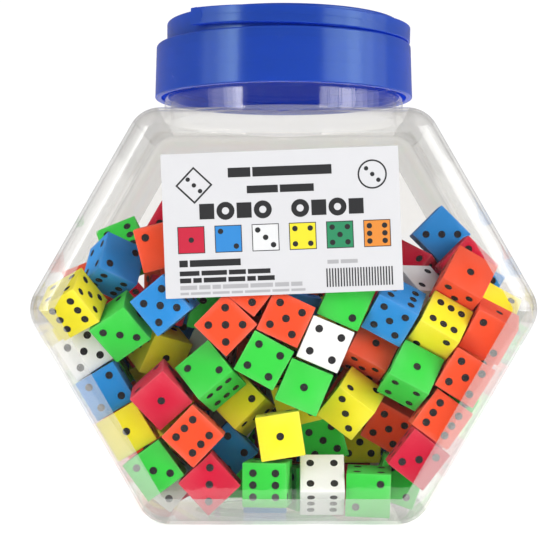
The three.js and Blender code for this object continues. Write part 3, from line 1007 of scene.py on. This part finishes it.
def build_lid(jar, lid):
    """The lid: skirt with its bead and sink rings, ledge, boss, thread and peg holes."""
    at = lid_heights(jar, lid)
    fillet = lid.fillet
    bead = lid.skirt_bead
    profile = [(at["inner"], at["bottom"] + bead)]
    profile += arc((at["inner"] + bead, at["bottom"] + bead), bead, 180, 270, 5)
    profile += arc((at["outer"] - bead, at["bottom"] + bead), bead, 270, 360, 5)
    skirt = at["skirt_top"] - at["bottom"]
    rows = 60
    marks = (0.36, 0.62, 0.80)
    mark_width = 0.022
    for k in range(1, rows):
        share = bead / skirt + (1 - (bead + fillet) / skirt) * k / rows
        radius = at["outer"] - lid.skirt_draft * share
        sunk = sum(math.exp(-(((share - mark) / mark_width) ** 2)) for mark in marks)
        profile.append((radius - lid.sink * sunk, at["bottom"] + skirt * share))
    profile += arc((at["top_radius"] - fillet, at["skirt_top"] - fillet), fillet, 0, 90, 8)
    root = 0.5 * MM
    profile += arc((at["boss"] + root, at["skirt_top"] + root), root, 270, 180, 5)
    profile += arc((at["boss"] - fillet, at["boss_top"] - fillet), fillet, 0, 90, 8)
    profile += [(0, at["boss_top"]), (0, at["boss_top"] - lid.boss_wall)]
    inside = at["boss"] - lid.boss_wall
    profile += arc((inside - fillet, at["boss_top"] - lid.boss_wall - fillet), fillet, 90, 0, 5)
    profile += [(inside, at["crown_under"]), (at["inner"] - fillet, at["crown_under"])]
    profile += arc((at["inner"] - fillet, at["crown_under"] - fillet), fillet, 90, 0, 4)
    made = object_of("screw_lid", lathed(profile, 192))
    thread_start = jar.height + jar.collar_height + jar.thread_run - jar.thread_pitch / 2
    ridge = helix(
        at["inner"] + RIDGE_SET_IN,
        at["crest"],
        thread_start,
        jar.thread_pitch,
        jar.thread_turns,
    )
    combine(made, object_of("ridge", ridge), "UNION")
    past_wall = 0.5 * MM
    axis = Vector((0, 0, at["hinge"]))
    for side in (-1, 1):
        towards = heading(lid.handle_angle + side * math.pi / 2)
        start = axis + towards * (inside - past_wall)
        end = axis + towards * (at["boss"] + past_wall)
        hole = bar(start, end, lid.peg_radius + lid.peg_clearance)
        combine(made, object_of("hole", hole), "DIFFERENCE")
    settle_normals(made, 38)
    return made


def build_handle(jar, lid):
    """The half-ring strap with a fine line round its middle, and at its ends a round boss and a peg."""
    at = lid_heights(jar, lid)
    inner = at["boss"] + lid.handle_gap
    outer = inner + lid.handle_thickness
    half = lid.handle_height / 2
    edge = lid.handle_edge
    groove = 0.06 * MM
    section = arc((outer - edge, -half + edge), edge, 270, 360, 4)
    section += [(outer, -2 * groove), (outer - groove, 0), (outer, 2 * groove)]
    section += arc((outer - edge, half - edge), edge, 0, 90, 4)
    section += arc((inner + edge, half - edge), edge, 90, 180, 4)
    section += arc((inner + edge, -half + edge), edge, 180, 270, 4)
    steps = 120
    past_hinge = (half - edge) / outer
    sweep = math.pi + 2 * past_hinge
    rings = []
    for k in range(steps + 1):
        towards = heading(lid.handle_angle - sweep / 2 + sweep * k / steps)
        rings.append([towards * radius + Vector((0, 0, z)) for radius, z in section])
    middle = (inner + outer) / 2
    caps = []
    for side in (-1, 1):
        towards = heading(lid.handle_angle + side * (sweep / 2 + edge / outer))
        cap = []
        for radius, z in section:
            drawn_in = middle + (radius - middle) * (1 - 2 * edge / lid.handle_thickness)
            cap.append(towards * drawn_in + Vector((0, 0, z * (1 - edge / half))))
        caps.append(cap)
    made = object_of("carry_strap", skinned([caps[0], *rings, caps[1]]))
    for side in (-1, 1):
        towards = heading(lid.handle_angle + side * math.pi / 2)
        knuckle = bar(towards * inner, towards * outer, half, 64)
        combine(made, object_of("knuckle", knuckle), "UNION")
        peg = bar(
            towards * (inner - lid.peg_reach),
            towards * (inner + lid.handle_thickness / 2),
            lid.peg_radius,
        )
        combine(made, object_of("peg", peg), "UNION")
    axis = heading(lid.handle_angle - math.pi / 2)
    droop = Matrix.Rotation(-lid.handle_droop, 4, axis)
    made.data.transform(Matrix.Translation((0, 0, at["hinge"])) @ droop)
    settle_normals(made, 38)
    return made


# ---- Dice ----

# The faces of a die: outward direction, then what is to the right and up on that face.
FACES = {
    "front": ((0, -1, 0), (1, 0, 0), (0, 0, 1)),
    "back": ((0, 1, 0), (-1, 0, 0), (0, 0, 1)),
    "right": ((1, 0, 0), (0, 1, 0), (0, 0, 1)),
    "left": ((-1, 0, 0), (0, -1, 0), (0, 0, 1)),
    "top": ((0, 0, 1), (1, 0, 0), (0, 1, 0)),
    "bottom": ((0, 0, -1), (1, 0, 0), (0, -1, 0)),
}

# How each front die lies: the number in front, the direction in which its pips line up as seen
# from the front (degrees up from the right), the number on top and the one on the right side,
# and for some the direction of the pips on the other faces.
FRONT_MARKS = (
    (5, 0, 1, 4), (3, 90, 1, 2), (6, 90, 4, 2), (4, 0, 1, 2), (2, 45, 4, 6), (4, 0, 1, 2),
    (3, 0, 1, 2), (4, 0, 1, 2), (1, 0, 2, 3), (3, 0, 1, 2), (5, 0, 1, 3), (5, 0, 1, 3),
    (1, 0, 2, 3), (6, 45, 2, 3), (2, 0, 1, 3), (6, 54, 2, 3), (4, 0, 1, 2), (1, 0, 2, 3),
    (1, 0, 2, 3), (3, 90, 2, 1), (5, 0, 1, 3), (1, 0, 3, 2), (2, 0, 1, 3, 40), (4, 0, 1, 2),
    (5, 0, 1, 3), (1, 0, 2, 4), (4, 0, 1, 2), (1, 0, 2, 3), (2, -71, 1, 3), (5, 0, 1, 3),
    (6, -45, 4, 5), (3, -12, 2, 1), (5, 0, 1, 4), (5, 0, 1, 3), (2, -45, 1, 3), (5, 0, 6, 3),
    (6, -30, 5, 3), (1, 0, 2, 3), (1, 0, 2, 3), (2, 45, 1, 3), (5, 0, 1, 3), (1, 0, 2, 3),
    (2, 135, 1, 3), (6, 90, 2, 3), (2, 0, 3, 6), (3, 0, 1, 2), (4, 0, 1, 2), (5, 0, 1, 3),
)

face_patches = {}


def face_patch(number, dice):
    """One face with its pips, flat: points with how far each is sunk, and triangles with ink or foam."""
    if number in face_patches:
        return face_patches[number]
    half = dice.side / 2
    near = half - dice.edge
    rim = [
        (-half, -half), (-near, -half), (near, -half), (half, -half),
        (half, -near), (half, near), (half, half),
        (near, half), (-near, half), (-half, half),
        (-half, near), (-half, -near),
    ]
    outlines = [rim, box_points(0, 0, 2 * near, 2 * near)]
    lip = 0.12 * MM
    column_share = 0.95 if number == 6 else 1.0
    for across, up in pip_pattern(number):
        x = across * dice.spread * column_share
        z = up * dice.spread
        outlines.append(disc_points(x, z, dice.pip_radius, 16))
        outlines.append(disc_points(x, z, dice.pip_radius - lip, 16))
    points = []
    faces = []
    for outline in outlines:
        faces.append([len(points) + i for i in range(len(outline))])
        points += [Vector(point) for point in outline]
    flat, _, triangles, origin, _, inside = delaunay_2d_cdt(points, [], faces, 1, 1e-7)
    # After the rim and the flat's border, each pip has its edge and then its sunk floor.
    pips_from = 2
    floors = {point for outline in faces[pips_from + 1 :: 2] for point in outline}
    sunk = [dice.pip_sink if floors.intersection(sources) else 0.0 for sources in origin]
    inked = [max(owners) >= pips_from for owners in inside]
    face_patches[number] = ([tuple(point) for point in flat], sunk, triangles, inked)
    return face_patches[number]


def quarter_turns(number, line, right, up):
    """How many quarter turns bring the pips of a face closest to a line seen from the front."""
    if line is None or number not in (2, 3, 6):
        return 0
    best = []
    for turns in (0, 1):
        angle = math.radians(90 if number == 6 else 45) + turns * math.pi / 2
        along = right * math.cos(angle) + up * math.sin(angle)
        seen = math.degrees(math.atan2(along.z, along.x))
        off = (seen - line + 90) % 180 - 90
        best.append((abs(off), turns))
    return min(best)[1]


def add_die(shape, wear, pose, numbers, lines, dice, chance):
    """Adds one soft die to a bmesh. Pose turns and places it."""
    half = dice.side / 2
    near = half - dice.edge
    bows = {side: -dice.bow * chance.random() for side in FACES}
    shrink = [1 - 0.012 * chance.random() for _ in range(3)]
    lean = [0.008 * (chance.random() - 0.5) for _ in range(2)]
    made = []
    for side, (out, right, up) in FACES.items():
        out, right, up = Vector(out), Vector(right), Vector(up)
        flat, sunk, triangles, inked = face_patch(numbers[side], dice)
        seen_right = pose.to_3x3() @ right
        seen_up = pose.to_3x3() @ up
        turns = quarter_turns(numbers[side], lines.get(side), seen_right, seen_up)
        verts = []
        for (x, z), depth in zip(flat, sunk):
            for _ in range(turns):
                x, z = -z, x
            hollow = bows[side] * (1 - (x / half) ** 2) * (1 - (z / half) ** 2)
            point = right * x + up * z + out * (half + hollow - depth)
            core = Vector([max(-near, min(near, c)) for c in point])
            away = point - core
            if sum(abs(c) > 1e-9 for c in away) > 1:
                point = core + away.normalized() * dice.edge
            reach = max(abs(x), abs(z)) + 1e-6
            worn = 1.0 if reach > half else (0.45 if reach > near else 0.0)
            point = Vector([c * s for c, s in zip(point, shrink)])
            point.x += lean[0] * point.z
            point.y += lean[1] * point.z
            vert = shape.verts.new(pose @ point)
            vert[wear] = worn
            verts.append(vert)
        for triangle, in_pip in zip(triangles, inked):
            face = shape.faces.new([verts[i] for i in triangle])
            face.material_index = 1 if in_pip else 0
        made += verts
    bmesh.ops.remove_doubles(shape, verts=made, dist=2e-6)


def dice_object(name, colour, laid, dice, seed):
    """One object for one or more dice of a colour. Each die is its pose, its numbers and its lines."""
    shape = bmesh.new()
    wear = shape.verts.layers.float.new("wear")
    chance = random.Random(seed)
    for pose, numbers, lines in laid:
        add_die(shape, wear, pose, numbers, lines, dice, chance)
    bmesh.ops.recalc_face_normals(shape, faces=shape.faces)
    made = object_of(name, shape, 28)
    made.data.materials.append(finish(f"{colour}_foam"))
    made.data.materials.append(finish("pip_ink"))
    return made


def pose_of(node):
    """The place and turn of a CAD die, with its front face nearest the front and its top uppermost."""
    verts = frame["nodes"][node].data.vertices
    corners = [Vector(place) for place in {tuple(round(c, 6) for c in vert.co) for vert in verts}]
    corners = [c for i, c in enumerate(corners) if all((c - d).length > 1e-4 for d in corners[:i])]
    middle = sum(corners, Vector()) / len(corners)
    corners.sort(key=tuple)
    spans = [corner - corners[0] for corner in corners[1:]]
    edges = sorted(spans, key=lambda span: span.length)[:3]
    axes = [axis.normalized() for edge in edges for axis in (edge, -edge)]
    front = min(axes, key=lambda axis: axis.y)
    sides = [axis for axis in axes if abs(axis.dot(front)) < 0.5]
    top = max(sides, key=lambda axis: axis.z)
    right = top.cross(front)
    turn = Matrix((right, -front, top)).transposed().to_4x4()
    return Matrix.Translation(middle) @ turn


def numbered(front, top, right):
    """The numbers on all six faces, whose opposite faces add up to seven."""
    return {
        "front": front,
        "back": 7 - front,
        "top": top,
        "bottom": 7 - top,
        "right": right,
        "left": 7 - right,
    }


def thrown_numbers(chance):
    """Numbers for a die that fell as it liked."""
    front = chance.randint(1, 6)
    top = chance.choice([n for n in range(1, 7) if n not in (front, 7 - front)])
    right = chance.choice([n for n in range(1, 7) if n not in (front, 7 - front, top, 7 - top)])
    return numbered(front, top, right)


def solid_body(target, kind, shape, friction):
    """Gives an object its part in the fall of the dice."""
    bpy.context.view_layer.objects.active = target
    bpy.ops.rigidbody.object_add()
    body = target.rigid_body
    body.type = kind
    body.collision_shape = shape
    body.friction = friction
    body.restitution = 0.05
    body.use_margin = True
    body.collision_margin = 0.0
    if kind == "ACTIVE":
        body.mass = 1.0
        body.linear_damping = 0.08
        body.angular_damping = 0.25
        body.use_deactivation = False
    return body


def cube_object(name, size, middle, turn):
    """A block that may be turned."""
    shape = bmesh.new()
    bmesh.ops.create_cube(shape, size=1)
    bmesh.ops.scale(shape, vec=size, verts=shape.verts)
    made = object_of(name, shape)
    made.rotation_mode = "QUATERNION"
    made.location = middle
    made.rotation_quaternion = turn or Quaternion()
    return made


def lies_inside(jar, dice, pose, ceiling):
    """Whether all corners of a die lie in the body's hollow, and below a ceiling."""
    half = dice.side / 2
    outline = outline_of(jar, -jar.wall)
    for signs in range(8):
        corner = pose @ Vector([half if signs >> k & 1 else -half for k in range(3)])
        if abs(corner.y) > jar.depth / 2 - jar.wall or corner.z > ceiling:
            return False
        for start, end in zip(outline, outline[1:] + outline[:1]):
            along = (end - start).normalized()
            if (corner.xz - start).dot(Vector((along.y, -along.x))) > 0:
                return False
    return True


# The dice fall in a world that is this many times larger, where the solver is steady.
GROWN = 60.0
FALL_FRAMES = 250
FALL_GAP = 0.3 * MM
CHUTE_HALF = 47 * MM
CHUTE_WALL = 20 * MM
CHUTE_TALL = 500 * MM
PLATE_THICK = 50 * MM
PLATE_PARKED = 800 * MM


def standing_block(name, size, middle, friction, turn=None):
    """A block that stands fast while the dice fall, and its body. Its size and place are the jar's own."""
    block = cube_object(name, [side * GROWN for side in size], middle * GROWN, turn)
    return block, solid_body(block, "PASSIVE", "BOX", friction)


def fall_walls(jar):
    """The jar's hollow with its top open, and a chute that reaches up from it."""
    cavity = body_shape(jar, jar.wall + FALL_GAP, 5, 5)
    for vert in cavity.verts:
        vert.co.z = max(vert.co.z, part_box("dice_heap")[0].z)
    under_top = jar.height - jar.edge_radius / 2
    opening = [face for face in cavity.faces if face.calc_center_median().z > under_top]
    bmesh.ops.delete(cavity, geom=opening, context="FACES")
    bmesh.ops.scale(cavity, vec=(GROWN,) * 3, verts=cavity.verts)
    solid_body(object_of("fall_shell", cavity), "PASSIVE", "MESH", 0.15)
    for sign in (-1, 1):
        standing_block(
            "fall_side",
            (CHUTE_WALL, 0.2, CHUTE_TALL),
            Vector((sign * (CHUTE_HALF + CHUTE_WALL / 2), 0, jar.height + CHUTE_TALL / 2)),
            0.1,
        )
        standing_block(
            "fall_face",
            (0.3, CHUTE_WALL, CHUTE_TALL),
            Vector((0, sign * (jar.depth / 2 - jar.wall + CHUTE_WALL / 2), CHUTE_TALL / 2)),
            0.15,
        )


def press_plates(jar, floor_of_loose):
    """Two plates that press the heap down: its middle to where the loose dice lie, its sides less."""
    depth = jar.depth - 4 * jar.wall
    presses = (
        (CHUTE_HALF - FALL_GAP, floor_of_loose),
        (jar.waist_width / 2, floor_of_loose + 7 * MM),
    )
    for reach, lowest in presses:
        size = (2 * reach, depth, PLATE_THICK)
        plate, body = standing_block("fall_plate", size, Vector((0, 0, PLATE_PARKED)), 0.05)
        body.kinematic = True
        moves = (
            (1, PLATE_PARKED),
            (62, PLATE_PARKED),
            (72, 0.3),
            (110, 0.15),
            (215, lowest),
            (FALL_FRAMES, lowest),
        )
        for when, bottom in moves:
            plate.location.z = (bottom + PLATE_THICK / 2) * GROWN
            plate.keyframe_insert("location", index=2, frame=when)


def dropped_dice(jar, dice):
    """The dice of the heap in layers above the mouth, each turned at random."""
    chance = random.Random(dice.seed)
    step = dice.side * 1.32
    per_row = 4
    size = ((dice.side + 0.5 * FALL_GAP) * GROWN,) * 3
    falling = []
    for i in range(dice.heap):
        layer, spot = divmod(i, per_row * per_row)
        row, column = divmod(spot, per_row)
        x = (column - (per_row - 1) / 2) * step
        y = (row - (per_row - 1) / 2) * step
        z = jar.height + 12 * MM + layer * step
        turn = Quaternion([chance.gauss(0, 1) for _ in range(4)]).normalized()
        die = cube_object("fall_die", size, Vector((x, y, z)) * GROWN, turn)
        solid_body(die, "ACTIVE", "BOX", 0.1)
        falling.append(die)
    return falling


def fallen_dice(jar, dice, front_poses, loose_poses):
    """Drops the heap's dice into the jar and returns their poses when they have come to rest."""
    scene = bpy.context.scene
    keep = set(scene.objects)
    old_gravity = tuple(scene.gravity)
    scene.gravity = (0, 0, -40)
    bpy.ops.rigidbody.world_add()
    world = scene.rigidbody_world
    world.substeps_per_frame = 12
    world.solver_iterations = 24
    world.point_cache.frame_start = 1
    world.point_cache.frame_end = FALL_FRAMES + 10

    fall_walls(jar)
    stand = (dice.side + FALL_GAP,) * 3
    for pose in front_poses:
        standing_block("fall_front", stand, pose.translation, 0.1, pose.to_quaternion())
    under_loose = Vector((0, 0, -dice.side / 2))
    floor_of_loose = min((pose @ under_loose).z for pose in loose_poses) - FALL_GAP
    press_plates(jar, floor_of_loose)
    falling = dropped_dice(jar, dice)

    for when in range(1, FALL_FRAMES + 1):
        scene.frame_set(when)
    poses = []
    for die in falling:
        where = die.matrix_world
        turn = where.to_quaternion().to_matrix().to_4x4()
        poses.append(Matrix.Translation(where.translation / GROWN) @ turn)
    bpy.ops.rigidbody.world_remove()
    for made in set(scene.objects) - keep:
        bpy.data.objects.remove(made)
    scene.gravity = old_gravity
    scene.frame_set(1)
    ceiling = floor_of_loose + 3 * MM
    return [pose for pose in poses if lies_inside(jar, dice, pose, ceiling)]


# ---- Operators ----


def dress(piece, material, body, *nodes):
    """Gives a finished piece its material and its body, and hides the CAD nodes that it stands for."""
    if material:
        piece.data.materials.append(finish(material))
    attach(piece, body)
    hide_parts(*nodes)
    return piece


def sheet_object(name, place, size, tilt, material):
    """A flat sheet for the stage, a metre square before it is scaled and tilted."""
    shape = bmesh.new()
    bmesh.ops.create_grid(shape, x_segments=2, y_segments=2, size=0.5)
    made = object_of(name, shape)
    made.location = place
    made.scale = size
    made.rotation_euler = (tilt, 0, 0)
    made.data.materials.append(finish(material))
    return made


class DICEJAR_OT_stage(bpy.types.Operator):
    """Makes the camera, the pale sweep, the lights and the flags"""

    bl_idname = "dicejar.stage"
    bl_label = "Stage"

    def execute(self, context):
        stage = context.scene.dice_jar_stage
        camera_data = bpy.data.cameras.new("camera")
        camera_data.lens = stage.lens
        camera_data.sensor_width = 36
        camera_data.shift_x = stage.shift_x
        camera_data.shift_y = stage.shift_y
        camera_data.clip_start = 0.01
        camera = bpy.data.objects.new("camera", camera_data)
        camera.location = (0, -stage.camera_distance, stage.camera_height)
        camera.rotation_euler = (math.pi / 2, 0, 0)
        context.scene.collection.objects.link(camera)
        context.scene.camera = camera
        context.scene.view_settings.view_transform = "Standard"

        world = bpy.data.worlds.new("studio")
        world.use_nodes = True
        background = world.node_tree.nodes["Background"]
        background.inputs["Color"].default_value = (1, 1, 1, 1)
        background.inputs["Strength"].default_value = stage.sky
        context.scene.world = world

        floor = sheet_object("stage_floor", (0, 0, 0), (6, 6, 1), 0, "stage_paper")

        flags = (
            ("stage_flag_low", (0, -0.8, 0.0006), (1.6, 1.28, 1), 0),
            ("stage_flag_front", (-0.02, -1.1, 0.7), (1.5, 1.4, 1), math.pi / 2),
        )
        for name, place, size, tilt in flags:
            flag = sheet_object(name, place, size, tilt, "stage_black")
            flag.visible_camera = False
            flag.visible_diffuse = False
            flag.visible_shadow = False
            flag.visible_transmission = False

        sweep = sheet_object("stage_backdrop", (0, 2.6, 0), (12, 8, 1), math.pi / 2, "stage_glow")
        sweep.visible_glossy = False

        # Each softbox: its name, the way it stands from the jar in degrees, its width and its power.
        boxes = (
            ("left_inner", -44, 0.15, 0.34),
            ("left_middle", -53, 0.16, 0.22),
            ("left_outer", -66, 0.3, 0.16),
            ("right_inner", 39, 0.14, 0.14),
            ("right_near", 49, 0.2, 0.26),
            ("right_middle", 63, 0.26, 0.5),
            ("right_far", 78, 0.24, 0.24),
            ("right_outer", 93, 0.28, 0.12),
        )
        for name, azimuth, width, share in boxes:
            data = bpy.data.lights.new(f"softbox_{name}", "AREA")
            data.shape = "RECTANGLE"
            data.size = width
            data.size_y = 0.9
            data.energy = stage.softbox * share
            light = bpy.data.objects.new(f"softbox_{name}", data)
            towards = heading(math.radians(azimuth))
            light.location = towards * 1.0 + Vector((0, 0, 0.35))
            aim = Vector((0, 0, 0.09)) - light.location
            light.rotation_euler = aim.to_track_quat("-Z", "Y").to_euler()
            context.scene.collection.objects.link(light)
        return {"FINISHED"}


class DICEJAR_OT_jar(bpy.types.Operator):
    """Builds the clear jar with its threaded neck"""

    bl_idname = "dicejar.jar"
    bl_label = "Jar"

    def execute(self, context):
        dress(build_jar(context.scene.dice_jar_body), "clear_plastic", "jar", "jar_body")
        return {"FINISHED"}


class DICEJAR_OT_label(bpy.types.Operator):
    """Builds the printed paper label"""

    bl_idname = "dicejar.label"
    bl_label = "Label"

    def execute(self, context):
        piece = dress(build_label(), None, "jar", "front_label")
        return {"FINISHED"}


class DICEJAR_OT_liner(bpy.types.Operator):
    """Gives the lid's film and pulp board their finish"""

    bl_idname = "dicejar.liner"
    bl_label = "Liner"

    def execute(self, context):
        for name in ("liner_film", "liner_board"):
            node = frame["nodes"][name]
            node.data.materials.clear()
            node.data.materials.append(finish(name))
        return {"FINISHED"}


class DICEJAR_OT_lid(bpy.types.Operator):
    """Builds the screw lid"""

    bl_idname = "dicejar.lid"
    bl_label = "Lid"

    def execute(self, context):
        scene = context.scene
        dress(build_lid(scene.dice_jar_body, scene.dice_jar_lid), "lid_plastic", "lid", "lid_shell")
        return {"FINISHED"}


class DICEJAR_OT_handle(bpy.types.Operator):
    """Builds the fold-down carry handle"""

    bl_idname = "dicejar.handle"
    bl_label = "Handle"

    def execute(self, context):
        scene = context.scene
        dress(build_handle(scene.dice_jar_body, scene.dice_jar_lid), "lid_plastic", "handle", "carry_handle")
        return {"FINISHED"}


class DICEJAR_OT_front_dice(bpy.types.Operator):
    """Builds the dice that lie against the front wall"""

    bl_idname = "dicejar.front_dice"
    bl_label = "Front dice"

    def execute(self, context):
        dice = context.scene.dice_jar_dice
        for i, (node, marks) in enumerate(zip(FRONT_DICE, FRONT_MARKS)):
            front, line, top, right = marks[:4]
            lines = {side: marks[4] for side in FACES} if len(marks) > 4 else {}
            lines["front"] = line
            colour = node.split("_")[0]
            laid = [(pose_of(node), numbered(front, top, right), lines)]
            piece = dice_object(f"front_die_{i + 1:02d}_{colour}", colour, laid, dice, dice.seed + i)
            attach(piece, "jar")
            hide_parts(node)
        return {"FINISHED"}


class DICEJAR_OT_loose_dice(bpy.types.Operator):
    """Builds the loose dice on top of the heap"""

    bl_idname = "dicejar.loose_dice"
    bl_label = "Loose dice"

    def execute(self, context):
        dice = context.scene.dice_jar_dice
        chance = random.Random(dice.seed)
        for i, node in enumerate(LOOSE_DICE):
            colour = node.split("_")[1]
            laid = [(pose_of(node), thrown_numbers(chance), {})]
            piece = dice_object(f"loose_die_{i + 1}_{colour}", colour, laid, dice, dice.seed - i)
            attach(piece, f"loose_die_{i + 1}")
            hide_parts(node)
        return {"FINISHED"}


class DICEJAR_OT_heap(bpy.types.Operator):
    """Drops the rest of the dice into the jar and builds them by colour"""

    bl_idname = "dicejar.heap"
    bl_label = "Heap"

    def execute(self, context):
        scene = context.scene
        dice = scene.dice_jar_dice
        front = [pose_of(node) for node in FRONT_DICE]
        loose = [pose_of(node) for node in LOOSE_DICE]
        poses = fallen_dice(scene.dice_jar_body, dice, front, loose)
        chance = random.Random(dice.seed + 1)
        by_colour = {colour: [] for colour in FOAM_COLOURS}
        for pose in poses:
            by_colour[chance.choice(FOAM_COLOURS)].append((pose, thrown_numbers(chance), {}))
        for colour, laid in by_colour.items():
            piece = dice_object(f"heap_dice_{colour}", colour, laid, dice, dice.seed)
            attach(piece, "jar")
            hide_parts("dice_heap")
        return {"FINISHED"}


OPERATORS = (
    DICEJAR_OT_stage,
    DICEJAR_OT_jar,
    DICEJAR_OT_label,
    DICEJAR_OT_liner,
    DICEJAR_OT_lid,
    DICEJAR_OT_handle,
    DICEJAR_OT_front_dice,
    DICEJAR_OT_loose_dice,
    DICEJAR_OT_heap,
)


class DICEJAR_PT_sidebar(bpy.types.Panel):
    """Lists the sizes, the colours and the operators"""

    bl_idname = "DICEJAR_PT_sidebar"
    bl_label = "Dice jar"
    bl_space_type = "VIEW_3D"
    bl_region_type = "UI"
    bl_category = "Dice jar"

    def draw(self, context):
        for name, group in GROUPS.items():
            box = self.layout.box()
            box.label(text=group.__doc__)
            for field in group.__annotations__:
                box.prop(getattr(context.scene, name), field)
        for operator in OPERATORS:
            self.layout.operator(operator.bl_idname)


def register():
    for group in GROUPS.values():
        bpy.utils.register_class(group)
    for name, group in GROUPS.items():
        setattr(bpy.types.Scene, name, PointerProperty(type=group))
    for operator in OPERATORS:
        bpy.utils.register_class(operator)
    bpy.utils.register_class(DICEJAR_PT_sidebar)


def unregister():
    bpy.utils.unregister_class(DICEJAR_PT_sidebar)
    for operator in reversed(OPERATORS):
        bpy.utils.unregister_class(operator)
    for name in GROUPS:
        delattr(bpy.types.Scene, name)
    for group in reversed(list(GROUPS.values())):
        bpy.utils.unregister_class(group)


def main():
    register()
    for operator in OPERATORS:
        getattr(bpy.ops.dicejar, operator.bl_idname.split(".")[1])()


if __name__ == "__main__":
    main()
